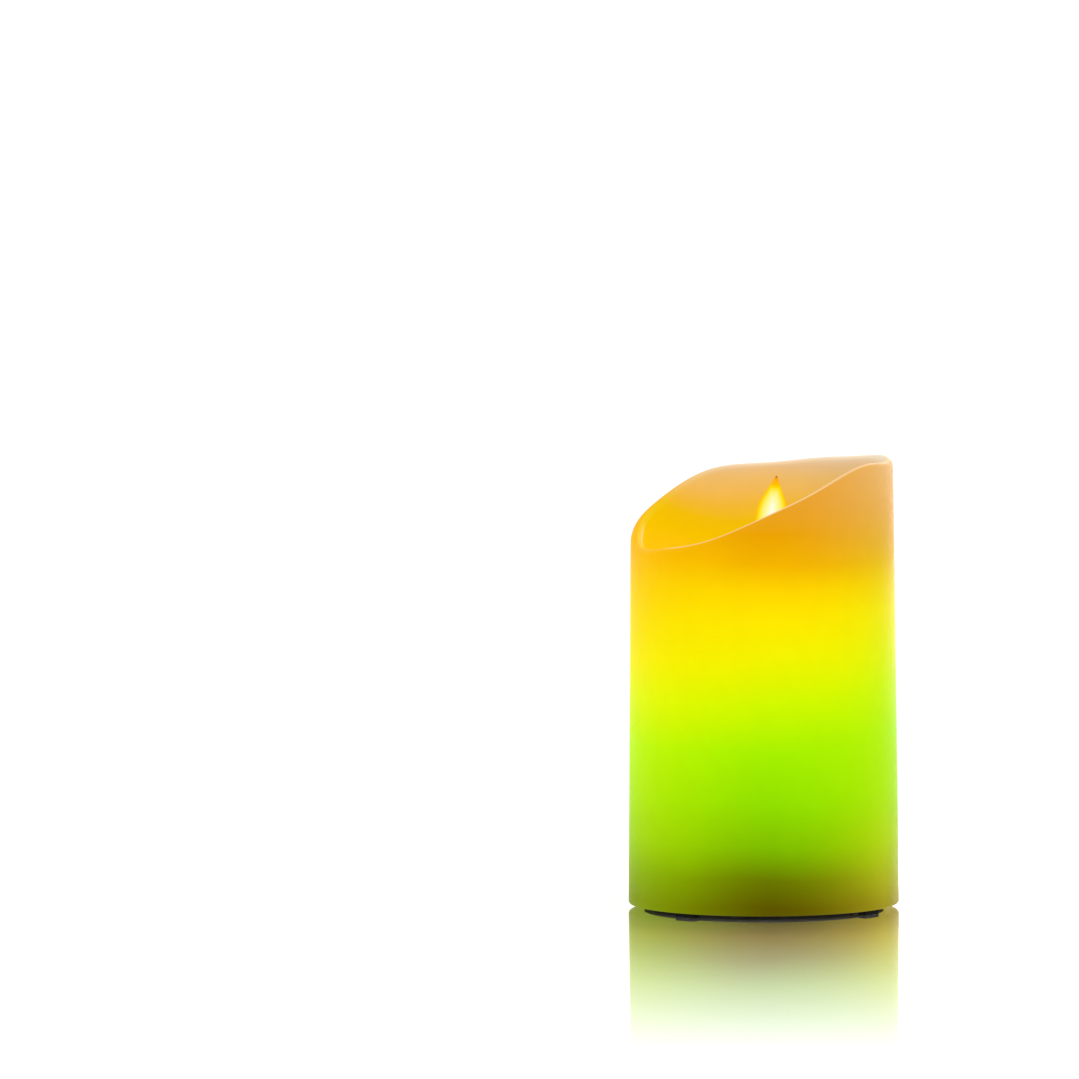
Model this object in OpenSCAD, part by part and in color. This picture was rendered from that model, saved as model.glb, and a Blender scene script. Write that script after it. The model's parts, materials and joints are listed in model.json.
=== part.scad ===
// Flameless pillar candle: a real-wax shell with a waved rim, a flame blade that
// sways over a coil, coloured light inside and three AAA cells in the base.
// Millimetres, +Z up. The origin is the middle of the face it stands on, and the
// front is towards -Y.

/* [Wax shell] */
// Outside diameter of the wax at its foot
wax_d = 76; // [74:0.5:78]
// How much the outside radius shrinks between the foot and the rim
wax_taper = 1.2; // [0.6:0.1:1.6]
// Mean height of the rim above the table
rim_height = 116.6; // [114:0.2:120]
// Strength of the wave in the rim, where 1 is the full wave
rim_wave = 1; // [0:0.1:1.1]
// Wall thickness at the rim
rim_wall = 3.5; // [3.2:0.1:3.8]
// Inside diameter below the ledge that carries the crater plate
wax_bore_d = 64.8; // [64.6:0.1:65]

/* [Flame] */
// Height of the pivot wire above the table
pivot_z = 91; // [90.6:0.1:91.4]
// Length of the flame blade from its pivot to its tip
blade_tip = 30.3; // [28:0.1:32]
// Greatest width of the flame blade
blade_w = 8.8; // [7:0.1:10]
// How far the blade leans to the right as it is stored, in degrees
blade_lean = 7.8; // [0:0.1:12]
// Diameter of the magnet in the tail of the blade
magnet_d = 6; // [5:0.5:6]

/* [Base] */
// Outside diameter of the flange that sits in the wax's foot
flange_d = 67; // [66:0.5:68]
// Height of the flange's underside above the table
foot_h = 0.9; // [0.6:0.1:1]
// Number of foot pads
foot_count = 4; // [3:1:8]
// Inside length of the battery bay
bay_l = 48.8; // [48.6:0.1:49]
// Inside width of the battery bay
bay_w = 34.4; // [34.2:0.1:34.6]

/* [Cells] */
// Diameter of one AAA cell
cell_d = 10.4; // [10:0.1:10.5]
// Length of one AAA cell with its nub
cell_l = 44.5; // [44:0.1:44.5]
// Distance between neighbouring cells
cell_pitch = 11.2; // [11:0.1:11.4]

/* [Hidden] */

$fn = 64;
cut = 0.5; // how far a cutting solid runs past the face that it opens

// Colours
ivory = "#efe3c6";
steel = "#b9bcc0";
copper = "#b5703a";
board_green = "#2f6b45";
dark = "#26262a";

// Wax
wax_r = wax_d / 2;
wax_foot = 1; // underside of the wax
wax_round = 0.8; // rounding of the wax's lower edge
lip_h = 1.8; // height over which the rim rounds off
lip_steps = 7;
wax_sides = 96;
wax_bore_r = wax_bore_d / 2;
ledge_z = 96; // the crater plate lies on this ledge
rebate_r = flange_d / 2 + 0.2; // the flange sits in this rebate under the wax
// Cosine and sine terms of the rim's wave, once to seven times round
rim_cos = [10.8, -1.3, 0.1, -0.4, -0.2, 0, 0.1];
rim_sin = [6.6, -3, -0.1, 0.3, 0.2, 0, 0.3];

// Base housing
flange_t = 1.1;
floor_z = foot_h + flange_t; // underside of the floor and top of the flange
floor_t = 1.5;
floor_top = floor_z + floor_t;
cup_r = wax_bore_r - 0.3;
cup_t = 1.5;
cup_top = 19.5;
recess_r = 31; // the underside inside the flange is recessed
bay_t = 1.2;
bay_top = 15.9;
foot_w_deg = 9.5;
foot_r = [34.6, 37.2]; // the pads are stuck under the wax
foot_turn = -90 + 51.5; // first pad, to the right of the front

// Battery door, hinged on two tabs at its left end
door_gap = 0.3;
door_l = bay_l - 2 * door_gap;
door_w = 33.5;
opening_w = 34;
door_rib_x = 9; // each way from the middle
door_rib_y = 14; // half the length of a rib
grip_count = 5;
grip_x = 10; // first finger rib
grip_pitch = 1.8;
grip_t = 0.8;
door_edge_r = floor_t / 2; // the hinge end is rounded about the hinge line
door_axis = [-door_l / 2 + door_edge_r, floor_z + door_edge_r]; // x and z of the hinge line
tab_y = 5.2; // middle of each hinge tab
tab_w = 3.6;
tab_out = 2.65; // how far a tab reaches past the hinge line
tab_z = [floor_top + 0.1, floor_top + 1.1];
tab_root_x = -door_l / 2 + 1.2; // inner end of a tab
tab_notch_h = 2.6;
latch_w = 7.4;
latch_notch_x = 20.5;
latch_axis = [22.4, 4.6]; // x and z of the line that the catch bends about
latch_leg_x = 19.6; // standing leg that the catch hangs from
latch_half_t = 0.3;
latch_gap = 0.06; // between the fixed and the moving side of the bend
latch_outer_x = [22.9, 23.8]; // outer leg of the catch
latch_lip_x = 21.4; // inner end of its finger lip
latch_lip_t = 1;
latch_nose_x = 24.15; // tip of its nose
latch_nose_z = [floor_top + 0.3, floor_top + 1];

// Cells and contacts
cell_r = cell_d / 2;
cell_z = 10.4;
nub_r = 1.9;
nub_l = 0.8;
plate_t = 0.4;
tab_half = 1; // half the width of a contact's solder tab
tab_top = 18.2;
contact_x = bay_l / 2 - plate_t;
spring_l = 2 * contact_x - cell_l;

// Slide switch in the floor behind the battery bay
switch_y = 23.8;
switch_z = 5; // underside of the switch
switch_travel = 2; // each way from the middle
switch_screw_x = 8.5;

// Circuit board above the battery bay
board_z = 18.8;
board_t = 1.6;
board_top = board_z + board_t;
board_r = 27.5;
board_screws = [[-20, -12], [20, -12], [0, 14]];
led_ring_r = 19;
led_angles = [45, 135, 225, 315];
plug_x = 9;
plug_y = 8;
plug_half = [3.8, 2.6];
plug_pin = 1.25; // half the distance between its pins
plug_top = board_top + 5;

// Crater plate and flame housing
crater_r = 33.4;
crater_t = 1.5;
crater_flange_r = 31;
pad_r = 12.5;
pad_z = 92.5; // underside of the pad in the middle of the crater
blade_slot = [5, 2.2]; // half length and half width of the slot for the blade
led_window = [2.6, 7.5]; // half width and reach to the front of the LED's window
boss_r = 2.8;
housing_half = 10.2; // half the outside width and depth of the flame housing
housing_t = 1.2;
housing_z = 65;
housing_floor = 1.5;
cavity_half = housing_half - housing_t;
ear_y = 14;
ear_z = 86.5;
ear_t = 2;
ear_r = 3.2;
side_tab_x = 12.7;
side_tab_z = 71;
side_tab_half = 3;
wire_hole = 7.8; // x and y of the four wire holes in the housing's floor

// Coil under the magnet
coil_z = housing_z + housing_floor;
coil_h = 8;
coil_flange_r = 7.5;
coil_flange_t = 1;
coil_tube_r = 3.2;
winding_r = 6.8;

// Flame LED, which leans back to light the front of the blade
led_foot = [0, -6.3, 82];
led_tilt = 20;
led_r = 1.5;
led_body = 3.8;
led_leg = 1.27; // half the distance between its legs

// Pivot
wire_r = 0.45;
hub_hole_r = 0.5;
hub_r = 2;
hub_half = 1.3;
blade_t = 0.8;
blade_neck = 1.8; // half width of the stem
neck_z = 4.3; // height above the pivot where the stem starts to widen
magnet_r = magnet_d / 2;
magnet_h = 3;
magnet_z = -14.4; // underside of the magnet, from the pivot
cup_wall = 0.7;

lead_r = 0.6; // radius of an insulated lead

// ---------- helpers ----------

// Sum of the rim's wave terms at one angle round the candle
function wave(a) = [for (k = [0 : len(rim_cos) - 1])
    rim_cos[k] * cos((k + 1) * a) + rim_sin[k] * sin((k + 1) * a)] * [for (c = rim_cos) 1];

function rim_z(a) = rim_height + rim_wave * wave(a);

// Outside radius of the wax at one height
function wax_outside(z) = wax_r - wax_taper * (z - wax_foot) / rim_height;

// Cross-section of the wax wall at one angle: up the outside, over the rim, down the inside
function wax_section(a) =
    let (zr = rim_z(a), mid = wax_outside(zr) - rim_wall / 2)
    concat(
        [
            [wax_r - wax_round, wax_foot],
            [wax_r - wax_round * 0.3, wax_foot + wax_round * 0.3],
            [wax_r, wax_foot + wax_round]
        ],
        [for (s = [0 : lip_steps]) let (b = 180 * s / lip_steps)
            [mid + rim_wall / 2 * cos(b), zr - lip_h * (1 - sin(b))]],
        [
            [wax_outside(ledge_z) - rim_wall, ledge_z],
            [wax_bore_r, ledge_z],
            [wax_bore_r, floor_z],
            [rebate_r, floor_z],
            [rebate_r, wax_foot]
        ]
    );

// Point on a cubic curve with four control points
function cubic(p, t) =
    pow(1 - t, 3) * p[0] + 3 * t * pow(1 - t, 2) * p[1]
    + 3 * t * t * (1 - t) * p[2] + pow(t, 3) * p[3];

// Point on a smooth route through a list of points, where u counts the points
function route_point(p, u) =
    let (
        n = len(p),
        i = min(floor(u), n - 2),
        t = u - i,
        a = p[max(i - 1, 0)], b = p[i], c = p[i + 1], d = p[min(i + 2, n - 1)]
    )
    0.5 * (2 * b + (c - a) * t + (2 * a - 5 * b + 4 * c - d) * t * t
        + (3 * b - a - 3 * c + d) * t * t * t);

function unit(v) = v / norm(v);

// One ring of a tube, square to its direction
function ring_points(centre, direction, r, sides) =
    let (
        side = abs(direction.x) < 0.9 ? [1, 0, 0] : [0, 1, 0],
        u = unit(cross(direction, side)),
        v = cross(direction, u)
    )
    [for (s = [0 : sides - 1]) let (a = 360 * s / sides) centre + r * (cos(a) * u + sin(a) * v)];

// Closed tube through a list of centres
module tube_along(centres, r, sides = 8) {
    last = len(centres) - 1;
    points = [for (i = [0 : last])
        each ring_points(
            centres[i],
            unit(centres[min(i + 1, last)] - centres[max(i - 1, 0)]),
            r, sides)];
    walls = [for (i = [0 : last - 1], s = [0 : sides - 1])
        let (a = i * sides + s, b = i * sides + (s + 1) % sides)
        each [[a, b, b + sides], [a, b + sides, a + sides]]];
    ends = [
        [for (s = [sides - 1 : -1 : 0]) s],
        [for (s = [0 : sides - 1]) last * sides + s]
    ];
    polyhedron(points, concat(ends, walls), convexity = 6);
}

// Insulated lead along a route of hand-picked points
module lead(route, steps = 3) {
    last = len(route) - 1;
    tube_along([for (i = [0 : last * steps]) route_point(route, i / steps)], lead_r);
}

module both_sides() {
    children();
    mirror([1, 0, 0]) children();
}

// Ring with a square section
module ring(r_in, r_out, z0, z1) {
    translate([0, 0, z0])
    difference() {
        cylinder(r = r_out, h = z1 - z0);
        translate([0, 0, -cut])
        cylinder(r = r_in, h = z1 - z0 + 2 * cut);
    }
}

// Box given by its lowest and highest corners
module box(low, high) {
    translate(low) cube(high - low);
}

// Cross-headed screw: the head stands on the origin and the shank points down
module screw(head_r, head_h, shank_r, length) {
    slot = 0.45;
    difference() {
        union() {
            cylinder(r = head_r, h = head_h);
            translate([0, 0, -length]) cylinder(r = shank_r, h = length);
            translate([0, 0, -length - shank_r]) cylinder(r1 = 0.15, r2 = shank_r, h = shank_r);
        }
        for (turn = [0, 90])
            rotate([0, 0, turn])
            translate([-head_r * 0.65, -slot / 2, head_h * 0.45])
            cube([head_r * 1.3, slot, head_h]);
    }
}

// Turns a part about the pivot so that it leans as it is stored
module leaning() {
    translate([0, 0, pivot_z]) rotate([0, blade_lean, 0]) children();
}

// Turns a part into the flame LED's own axis
module at_led() {
    translate(led_foot) rotate([-led_tilt, 0, 0]) children();
}

// ---------- wax and crater ----------

module wax_shell() {
    step = 360 / wax_sides;
    rows = len(wax_section(0));
    points = [for (j = [0 : wax_sides - 1]) let (a = j * step)
        for (p = wax_section(a)) [p[0] * cos(a), p[0] * sin(a), p[1]]];
    faces = [for (j = [0 : wax_sides - 1], i = [0 : rows - 1])
        let (
            k = (j + 1) % wax_sides, m = (i + 1) % rows,
            a = j * rows + i, b = k * rows + i, c = k * rows + m, d = j * rows + m
        )
        each [[a, c, b], [a, d, c]]];
    color("#f2c46a")
    polyhedron(points, faces, convexity = 8);
}

// Dished plate that closes the shell under the flame, with bosses for two screws
module crater_plate() {
    rise = ledge_z - pad_z;
    steps = 8;
    // Underside of the dish from the pad to the flange, as a smooth slope
    slope = [for (s = [0 : steps])
        [pad_r + (crater_flange_r - pad_r) * s / steps, pad_z + rise * (1 - cos(180 * s / steps)) / 2]];
    color(ivory)
    difference() {
        union() {
            rotate_extrude()
            polygon(concat(
                [[0, pad_z]],
                slope,
                [[crater_r, ledge_z], [crater_r, ledge_z + crater_t]],
                [for (s = [steps : -1 : 0]) slope[s] + [0, crater_t]],
                [[0, pad_z + crater_t]]
            ));
            for (side = [-1, 1])
                translate([0, side * ear_y, ear_z + ear_t])
                cylinder(r = boss_r, h = pad_z + 0.8 - ear_z - ear_t);
        }
        // slot for the blade and, in front of it, the window for the LED
        box([-blade_slot.x, -blade_slot.y, pad_z - cut],
            [blade_slot.x, blade_slot.y, pad_z + crater_t + cut]);
        box([-led_window.x, -led_window.y, pad_z - cut],
            [led_window.x, 0.1 - blade_slot.y, pad_z + crater_t + cut]);
        for (side = [-1, 1])
            translate([0, side * ear_y, ear_z + ear_t - cut])
            cylinder(r = 0.9, h = 4.2 + cut);
    }
}

// Hot-melt dabs that hold the crater plate and the base housing in the wax
module glue_beads() {
    bead_deg = 14;
    color("#e9dfc2")
    for (a = [30 : 60 : 330])
        rotate([0, 0, a - bead_deg / 2]) {
            rotate_extrude(angle = bead_deg)
            polygon([[crater_flange_r, ledge_z], [wax_bore_r - 0.1, ledge_z - 1.8],
                [wax_bore_r - 0.1, ledge_z]]);
            rotate_extrude(angle = bead_deg)
            polygon([[cup_r - 1.3, cup_top], [wax_bore_r - 0.1, cup_top],
                [wax_bore_r - 0.1, cup_top + 1.8]]);
        }
}

// ---------- flame ----------

// Outline of one side of the flame, from the tip down to the stem
function flame_side() =
    let (
        half = blade_w / 2,
        belly = blade_tip - 10.6,
        upper = [[0.15, blade_tip], [half * 0.55, blade_tip - 4.8],
            [half, belly + 2.8], [half, belly]],
        lower = [[half, belly], [half, belly - 4.4],
            [blade_neck + 0.8, neck_z + 4], [blade_neck, neck_z]],
        steps = 12
    )
    concat(
        [for (s = [0 : steps]) cubic(upper, s / steps)],
        [for (s = [1 : steps]) cubic(lower, s / steps)]
    );

module flame_blade() {
    side = flame_side();
    last = len(side) - 1;
    cup_z = magnet_z;
    color("#ffd84a")
    leaning()
    difference() {
        union() {
            rotate([90, 0, 0])
            linear_extrude(blade_t, center = true)
            polygon(concat(
                side,
                [[blade_neck, cup_z + magnet_h], [-blade_neck, cup_z + magnet_h]],
                [for (i = [last : -1 : 0]) [-side[i].x, side[i].y]]
            ));
            rotate([90, 0, 0]) cylinder(r = hub_r, h = 2 * hub_half, center = true);
            translate([0, 0, cup_z + 0.8]) cylinder(r = magnet_r + cup_wall, h = magnet_h);
        }
        rotate([90, 0, 0]) cylinder(r = hub_hole_r, h = 2 * hub_half + 2 * cut, center = true);
        translate([0, 0, cup_z - cut]) cylinder(r = magnet_r, h = magnet_h + cut);
    }
}

module blade_magnet() {
    color(steel)
    leaning()
    translate([0, 0, magnet_z])
    cylinder(r = magnet_r, h = magnet_h);
}

module pivot_wire() {
    color(steel)
    translate([0, 0, pivot_z])
    rotate([90, 0, 0])
    cylinder(r = wire_r, h = 2 * cavity_half + 1.6, center = true, $fn = 32);
}

// ---------- flame housing ----------

// One half of the housing, drawn for the side towards -Y
module housing_half_shell() {
    difference() {
        union() {
            box([-housing_half, -housing_half, housing_z], [housing_half, 0, pad_z]);
            // ear for the screw into the crater plate, with a gusset under it
            box([-ear_r, -ear_y, ear_z], [ear_r, -housing_half + 0.1, ear_z + ear_t]);
            translate([0, -ear_y, ear_z]) cylinder(r = ear_r, h = ear_t);
            both_sides()
            translate([ear_r - 1, -housing_half, 0])
            rotate([90, 0, 90])
            linear_extrude(1)
            polygon([[0.1, ear_z - 4], [0.1, ear_z + 0.1], [-2.6, ear_z + 0.1]]);
            // side tabs for the screws that join the halves
            both_sides()
            box([housing_half - 0.1, -2, side_tab_z - side_tab_half],
                [side_tab_x + 2.6, 0, side_tab_z + side_tab_half]);
        }
        box([-cavity_half, -cavity_half, coil_z], [cavity_half, cut, pad_z + cut]);
        translate([0, 0, pivot_z])
        rotate([90, 0, 0])
        cylinder(r = wire_r, h = cavity_half + 0.8, $fn = 32);
        translate([0, -ear_y, ear_z - cut]) cylinder(r = 1.3, h = ear_t + 2 * cut);
        both_sides()
        translate([wire_hole, -wire_hole, housing_z - cut])
        cylinder(r = 0.9, h = housing_floor + 2 * cut, $fn = 32);
        // air and inspection hole under the coil
        translate([0, 0, housing_z - cut]) cylinder(r = 2, h = housing_floor + 2 * cut);
    }
}

module flame_housing_front() {
    color(ivory)
    difference() {
        union() {
            housing_half_shell();
            // socket for the LED on a web from the front wall
            at_led() translate([0, 0, 1]) cylinder(r = 2.4, h = 2.4);
            box([-0.8, -cavity_half - 0.1, 83.6], [0.8, -7.2, 85.6]);
        }
        at_led() translate([0, 0, 1 - cut]) cylinder(r = led_r, h = 5);
        side_screw_holes(1.1);
    }
}

module flame_housing_rear() {
    color(ivory)
    difference() {
        union() {
            mirror([0, 1, 0]) housing_half_shell();
            both_sides()
            translate([side_tab_x, 4.5, side_tab_z]) rotate([90, 0, 0]) cylinder(r = 2.2, h = 4.5);
        }
        side_screw_holes(0.8);
    }
}

module side_screw_holes(r) {
    both_sides()
    translate([side_tab_x, 4, side_tab_z]) rotate([90, 0, 0]) cylinder(r = r, h = 7, $fn = 32);
}

// Two screws that hold the halves of the housing together
module housing_screws() {
    color(steel)
    both_sides()
    translate([side_tab_x, -2, side_tab_z])
    rotate([90, 0, 0])
    screw(1.9, 1.2, 0.8, 4.8, $fn = 32);
}

// Two screws that hang the housing from the crater plate
module plate_screws() {
    color(steel)
    for (side = [-1, 1])
        translate([0, side * ear_y, ear_z])
        mirror([0, 0, 1])
        screw(2, 1.3, 0.9, 5, $fn = 32);
}

module flame_led() {
    color("#ffe9a8")
    at_led() {
        cylinder(r = 1.9, h = 1, $fn = 32);
        translate([0, 0, 1]) cylinder(r = led_r, h = led_body - 1, $fn = 32);
        translate([0, 0, led_body])
        intersection() {
            sphere(r = led_r, $fn = 32);
            cylinder(r = led_r + cut, h = led_r + cut, $fn = 32);
        }
    }
}

module coil_bobbin() {
    color(dark)
    translate([0, 0, coil_z])
    rotate_extrude()
    polygon([
        [2, 0], [coil_flange_r, 0], [coil_flange_r, coil_flange_t], [coil_tube_r, coil_flange_t],
        [coil_tube_r, coil_h - coil_flange_t], [coil_flange_r, coil_h - coil_flange_t],
        [coil_flange_r, coil_h], [2, coil_h]
    ]);
}

module coil_winding() {
    color(copper)
    ring(coil_tube_r, winding_r, coil_z + coil_flange_t, coil_z + coil_h - coil_flange_t);
}

// ---------- base ----------

module base_housing() {
    bay_out = [bay_l / 2 + bay_t, bay_w / 2 + bay_t];
    color(dark)
    difference() {
        union() {
            ring(recess_r, flange_d / 2, foot_h, floor_z);
            ring(cup_r - cup_t, cup_r, floor_z, cup_top);
            translate([0, 0, floor_z]) cylinder(r = cup_r, h = floor_t);
            box([-bay_out.x, -bay_out.y, floor_z], [bay_out.x, bay_out.y, bay_top + bay_t]);
            for (p = board_screws)
                translate([p.x, p.y, bay_top + bay_t - 0.1])
                cylinder(r = 2.6, h = board_z - bay_top - bay_t + 0.1);
            both_sides()
            translate([switch_screw_x, switch_y, floor_top - 0.1])
            cylinder(r = 2, h = switch_z - floor_top + 0.1);
        }
        box([-bay_l / 2, -bay_w / 2, floor_top], [bay_l / 2, bay_w / 2, bay_top]);
        box([-bay_l / 2, -opening_w / 2, floor_z - cut], [bay_l / 2, opening_w / 2, floor_top + cut]);
        // windows in the bay's left wall for the hinge tabs of the door
        for (side = [-1, 1])
            translate([0, side * tab_y, 0])
            box([-bay_out.x - cut, -tab_w / 2 - 0.3, floor_top],
                [-bay_l / 2 + cut, tab_w / 2 + 0.3, floor_top + tab_notch_h]);
        // slots in the bay's roof for the solder tabs of the two end contacts
        for (turn = [0, 180])
            rotate([0, 0, turn])
            translate([0, -cell_pitch, 0])
            box([contact_x - 0.05, -tab_half - 0.1, bay_top - cut],
                [bay_l / 2 + 0.05, tab_half + 0.1, bay_top + bay_t + cut]);
        for (p = board_screws)
            translate([p.x, p.y, bay_top + 0.4])
            cylinder(r = 0.9, h = 4, $fn = 32);
        both_sides()
        translate([switch_screw_x, switch_y, floor_z + 0.5])
        cylinder(r = 0.7, h = 4, $fn = 32);
        // slot for the switch's knob
        box([-switch_travel - 2.3, switch_y - 1.6, floor_z - cut],
            [switch_travel + 2.3, switch_y + 1.6, floor_top + cut]);
    }
}

module foot_pads() {
    color(dark)
    for (i = [0 : foot_count - 1])
        rotate([0, 0, foot_turn + 360 * i / foot_count - foot_w_deg / 2])
        rotate_extrude(angle = foot_w_deg)
        translate([foot_r[0], 0])
        square([foot_r[1] - foot_r[0], wax_foot]);
}

module battery_door() {
    color(dark)
    difference() {
        union() {
            box([door_axis.x, -door_w / 2, floor_z], [door_l / 2, door_w / 2, floor_top]);
            // rounded hinge end
            translate([door_axis.x, door_w / 2, door_axis.y])
            rotate([90, 0, 0])
            cylinder(r = door_edge_r, h = door_w);
            for (side = [-1, 1])
                translate([0, side * tab_y, 0])
                hinge_tab();
            // ribs that the cells lie on
            for (x = [-door_rib_x, door_rib_x])
                box([x - 0.6, -door_rib_y, floor_top - 0.1],
                    [x + 0.6, door_rib_y, cell_z - cell_r - 0.3]);
            latch_leg();
            // finger ribs beside the catch
            for (i = [0 : grip_count - 1])
                translate([grip_x + grip_pitch * i, 0, 0])
                box([0, -5, floor_z - 0.4], [grip_t, 5, floor_z + 0.1]);
        }
        box([latch_notch_x, -latch_w / 2 - 0.2, floor_z - cut],
            [door_l / 2 + cut, latch_w / 2 + 0.2, floor_top + cut]);
    }
}

// Tab on top of the door that reaches through a window in the bay's wall
module hinge_tab() {
    box([door_axis.x - tab_out, -tab_w / 2, tab_z[0]], [tab_root_x, tab_w / 2, tab_z[1]]);
    box([-door_l / 2, -tab_w / 2, door_axis.y], [tab_root_x, tab_w / 2, tab_z[1]]);
}

// Standing leg of the door and the fixed side of the bend that the catch hangs from
module latch_leg() {
    low = latch_axis.y - latch_half_t;
    high = latch_axis.y + latch_half_t;
    box([latch_leg_x, -latch_w / 2, floor_z], [latch_leg_x + 0.8, latch_w / 2, high]);
    box([latch_leg_x, -latch_w / 2, low],
        [latch_axis.x - latch_half_t - latch_gap, latch_w / 2, high]);
}

// Outer leg of the door's spring catch, with its finger lip and nose
module door_latch() {
    foot = floor_z + 0.1;
    color(dark) {
        // bend, rounded about the line that it turns on
        translate([latch_axis.x, latch_w / 2, latch_axis.y])
        rotate([90, 0, 0])
        cylinder(r = latch_half_t, h = latch_w, $fn = 32);
        box([latch_axis.x, -latch_w / 2, latch_axis.y - latch_half_t],
            [latch_outer_x[1], latch_w / 2, latch_axis.y + latch_half_t]);
        // outer leg, finger lip and nose
        box([latch_outer_x[0], -latch_w / 2, foot], [latch_outer_x[1], latch_w / 2, latch_axis.y]);
        box([latch_lip_x, -latch_w / 2, foot],
            [latch_outer_x[0] + 0.1, latch_w / 2, foot + latch_lip_t]);
        box([latch_outer_x[1] - 0.1, -latch_w / 2 + 1, latch_nose_z[0]],
            [latch_nose_x, latch_w / 2 - 1, latch_nose_z[1]]);
    }
}

// ---------- cells and contacts ----------

// One cell along X, with its nub towards +X for turned = 1 and -X for turned = -1
module cell(y, turned) {
    can_l = cell_l - nub_l;
    band = 0.25;
    color("#3f7fb5")
    translate([turned * contact_x, y, cell_z])
    rotate([0, -90 * turned, 0])
    rotate_extrude()
    polygon([
        [0, 0], [nub_r, 0], [nub_r, nub_l], [cell_r - 0.6, nub_l], [cell_r, nub_l + 0.6],
        [cell_r, nub_l + can_l - 0.6], [cell_r - 0.6, nub_l + can_l], [cell_r - 0.6 - band, cell_l],
        [0, cell_l]
    ]);
}

module battery_1() {
    cell(-cell_pitch, 1);
}

module battery_2() {
    cell(0, -1);
}

module battery_3() {
    cell(cell_pitch, 1);
}

// Conical spring that presses on the flat end of a cell
module cell_spring(y, side) {
    turns = 3;
    per_turn = 12;
    wire = 0.3;
    reach = spring_l - 2 * wire - 0.05;
    tube_along(
        [for (i = [0 : turns * per_turn])
            let (f = i / (turns * per_turn), a = 360 * i / per_turn, r = 3.4 - 1.4 * f)
            [side * (contact_x - wire - 0.02 - reach * f), y + r * cos(a), cell_z + r * sin(a)]],
        wire, 6);
}

module battery_springs() {
    color(steel) {
        cell_spring(-cell_pitch, -1);
        cell_spring(cell_pitch, -1);
        cell_spring(0, 1);
    }
}

// Contact plate on an end wall of the bay, from one cell's place to another's
module contact(side, y0, y1) {
    half = 4.2;
    x0 = side > 0 ? contact_x : -bay_l / 2;
    box([x0, y0 - half, cell_z - 3.3], [x0 + plate_t, y1 + half, cell_z + half]);
}

module contact_plates() {
    color(steel) {
        contact(1, -cell_pitch, -cell_pitch);
        contact(1, 0, cell_pitch);
        contact(-1, -cell_pitch, 0);
        contact(-1, cell_pitch, cell_pitch);
        for (turn = [0, 180])
            rotate([0, 0, turn])
            translate([0, -cell_pitch, 0])
            box([contact_x, -tab_half, cell_z], [contact_x + plate_t, tab_half, tab_top]);
    }
}

// ---------- switch ----------

module switch_body() {
    color(steel)
    difference() {
        union() {
            box([-6, switch_y - 2.5, switch_z], [6, switch_y + 2.5, switch_z + 4]);
            box([-10.5, switch_y - 2, switch_z], [10.5, switch_y + 2, switch_z + 0.5]);
            for (x = [-3, 0, 3])
                translate([x, switch_y, switch_z + 4]) cylinder(r = 0.4, h = 1.5, $fn = 24);
        }
        box([-switch_travel - 1.8, switch_y - 1.4, switch_z - cut],
            [switch_travel + 1.8, switch_y + 1.4, switch_z + 2.8]);
        both_sides()
        translate([switch_screw_x, switch_y, switch_z - cut])
        cylinder(r = 0.9, h = 0.5 + 2 * cut, $fn = 32);
    }
}

module switch_screws() {
    color(steel)
    both_sides()
    translate([switch_screw_x, switch_y, switch_z + 0.5])
    screw(1.6, 1, 0.7, 2.2, $fn = 32);
}

module switch_knob() {
    ribs = 3;
    color(dark)
    difference() {
        union() {
            box([-1.9, switch_y - 1.3, foot_h + 0.3], [1.9, switch_y + 1.3, switch_z - 0.2]);
            box([-1.5, switch_y - 1.1, switch_z - 0.3], [1.5, switch_y + 1.1, switch_z + 2.4]);
        }
        for (i = [0 : ribs - 1])
            translate([-1.15 + i * 0.95, switch_y - 2, foot_h]) cube([0.4, 4, 0.65]);
    }
}

// ---------- circuit board ----------

module main_pcb() {
    color(board_green)
    difference() {
        translate([0, 0, board_z]) cylinder(r = board_r, h = board_t);
        for (p = board_screws)
            translate([p.x, p.y, board_z - cut]) cylinder(r = 1.3, h = board_t + 2 * cut, $fn = 32);
        // cut-out at the back for the leads from below
        box([-7, 20.5, board_z - cut], [7, board_r + cut, board_top + cut]);
    }
}

module pcb_screws() {
    color(steel)
    for (p = board_screws)
        translate([p.x, p.y, board_top]) screw(2, 1.3, 0.9, 3, $fn = 32);
}

module control_chip() {
    color(dark) {
        box([-3, -2.2, board_top + 0.15], [7, 1.8, board_top + 1.7]);
        for (i = [0 : 7], side = [-1, 1])
            translate([-2.45 + i * 1.27, -0.2, 0])
            box([-0.2, side > 0 ? 2 : -3, board_top], [0.2, side > 0 ? 3 : -2, board_top + 0.5]);
    }
}

// Coloured light sources that shine up into the wax
module rgb_leds() {
    color("#f4f6f0")
    for (a = led_angles)
        rotate([0, 0, a])
        translate([led_ring_r, 0, board_top])
        difference() {
            translate([-2.5, -2.5, 0]) cube([5, 5, 1.6]);
            translate([0, 0, 1.1]) cylinder(r = 2, h = 1, $fn = 32);
        }
}

module electrolytic_capacitor() {
    color("#2c3e6e")
    translate([-12, -1, board_top])
    rotate_extrude()
    polygon([[0, 0], [2.5, 0], [2.5, 1.2], [2.3, 1.5], [2.5, 1.8], [2.5, 6.8], [2.2, 7], [0, 7]]);
}

module ir_receiver() {
    color(dark) {
        box([-3.2, -21.5, board_top], [3.2, -19.3, board_top + 7]);
        translate([0, -21.5, board_top + 4.2])
        rotate([90, 0, 0])
        intersection() {
            sphere(r = 2.4, $fn = 32);
            cylinder(r = 3, h = 2, $fn = 32);
        }
    }
}

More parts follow.
